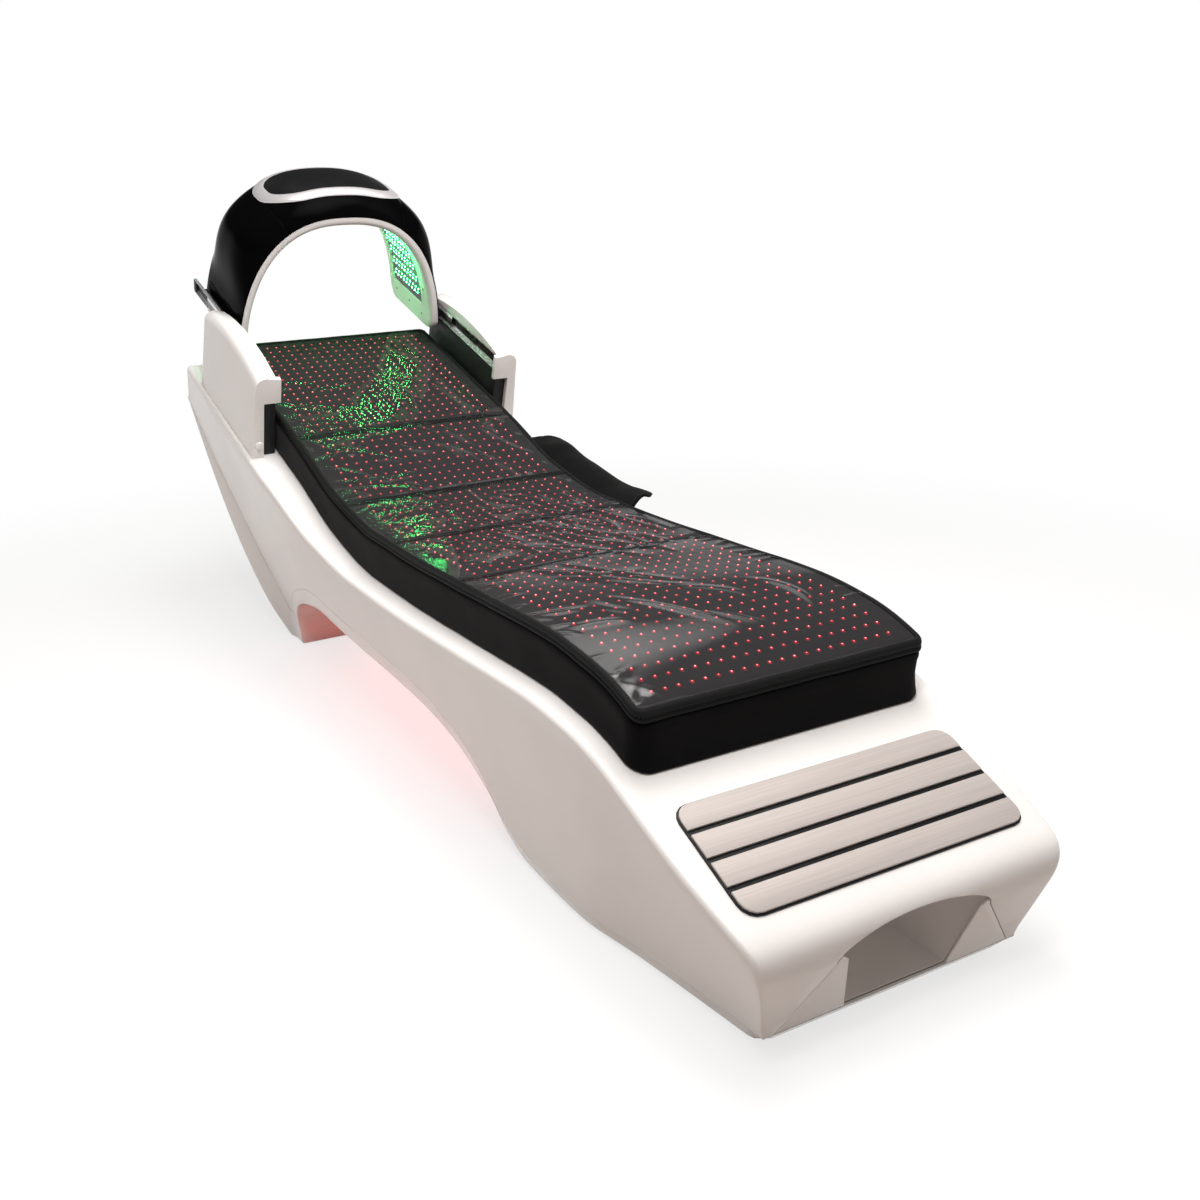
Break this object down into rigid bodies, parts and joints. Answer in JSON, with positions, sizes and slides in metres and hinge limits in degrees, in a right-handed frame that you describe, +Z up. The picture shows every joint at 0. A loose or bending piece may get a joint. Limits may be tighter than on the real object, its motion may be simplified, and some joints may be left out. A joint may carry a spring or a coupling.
{
  "type": "red light therapy bed",
  "caption": "Lounger-shaped light therapy bed: white moulded body, black mattress, red LED mat under clear vinyl, brushed foot slats and a black LED dome that slides over the head on rails.",
  "frame": {"origin": "on the floor under the middle of the bed's bounding box", "axes": "+X along the bed towards the foot end, +Y to the side with the mat's flap, +Z up"},
  "size_m": [2.5609, 0.739, 1.2028],
  "materials": {
    "shell_white": "gloss white moulded shell",
    "foot_rubber": "black rubber",
    "frame_steel": "dark painted steel",
    "supply_case": "plain metal case",
    "moulded_black": "black moulded plastic",
    "switch_black": "black rocker",
    "glow_red": "red light strip",
    "matte_black": "matte black",
    "brushed_slat": "brushed, warm grey",
    "velour_black": "black velour",
    "mat_grey": "dark grey mat with LEDs",
    "webbing_black": "black sewn webbing",
    "clear_vinyl": "clear soft vinyl",
    "rail_chrome": "bright plated steel",
    "dome_gloss_black": "gloss black",
    "board_black": "black LED board",
    "trim_silver": "silver trim",
    "panel_satin_black": "satin black",
    "screw_dark": "dark steel screw"
  },
  "bodies": {
    "bed": {"upper_shell": "shell_white", "lower_shell": "shell_white", "niche_liner": "shell_white", "niche_cover_left": "shell_white", "niche_cover_right": "shell_white", "rubber_foot_1": "foot_rubber", "rubber_foot_2": "foot_rubber", "rubber_foot_3": "foot_rubber", "rubber_foot_4": "foot_rubber", "frame": "frame_steel", "power_supply": "supply_case", "led_driver": "moulded_black", "power_inlet": "moulded_black", "underglow_left": "glow_red", "underglow_right": "glow_red", "foot_plate_backing": "matte_black", "foot_plate_1": "brushed_slat", "foot_plate_2": "brushed_slat", "foot_plate_3": "brushed_slat", "foot_plate_4": "brushed_slat", "mattress": "velour_black", "led_panel_1": "mat_grey", "led_panel_2": "mat_grey", "led_panel_3": "mat_grey", "led_panel_4": "mat_grey", "led_panel_5": "mat_grey", "seam_strip_1": "webbing_black", "seam_strip_2": "webbing_black", "seam_strip_3": "webbing_black", "seam_strip_4": "webbing_black", "vinyl_cover": "clear_vinyl", "mat_binding": "webbing_black", "cable_flap": "velour_black", "mat_lead": "foot_rubber", "mat_lead_grommet": "foot_rubber", "rail_housing_left": "shell_white", "rail_housing_right": "shell_white", "housing_inner_panel_left": "matte_black", "housing_inner_panel_right": "matte_black", "housing_cap_left": "shell_white", "housing_cap_right": "shell_white", "rail_fixed_left": "rail_chrome", "rail_fixed_right": "rail_chrome"},
    "dome": {"dome_shell_left": "dome_gloss_black", "dome_shell_center": "dome_gloss_black", "dome_shell_right": "dome_gloss_black", "dome_liner": "shell_white", "dome_led_board": "board_black", "dome_trim": "trim_silver", "dome_top_panel": "panel_satin_black", "dome_screw_left": "screw_dark", "dome_screw_right": "screw_dark", "dome_bracket_left": "matte_black", "dome_bracket_right": "matte_black", "rail_inner_left": "rail_chrome", "rail_inner_right": "rail_chrome"},
    "rail_middle_left": {"rail_middle_left": "rail_chrome"},
    "rail_middle_right": {"rail_middle_right": "rail_chrome"},
    "power_switch": {"power_switch": "switch_black"}
  },
  "joints": [
    {"name": "dome_slide", "type": "slide", "parent": "bed", "child": "dome", "axis": [0.9537, 0, -0.3007], "range_m": [0, 0.27]},
    {"name": "rail_middle_left_slide", "type": "slide", "parent": "bed", "child": "rail_middle_left", "axis": [0.9537, 0, -0.3007], "range_m": [0, 0.135]},
    {"name": "rail_middle_right_slide", "type": "slide", "parent": "bed", "child": "rail_middle_right", "axis": [0.9537, 0, -0.3007], "range_m": [0, 0.135]},
    {"name": "power_switch_rock", "type": "hinge", "parent": "bed", "child": "power_switch", "pos_m": [-0.90612, 0.013, 0.15702], "axis": [-0.6545, 0, 0.7561], "range_deg": [-16, 0]}
  ],
  "couplings": [
    {"joint": "rail_middle_left_slide", "follows": "dome_slide", "ratio": 0.5},
    {"joint": "rail_middle_right_slide", "follows": "dome_slide", "ratio": 0.5}
  ]
}
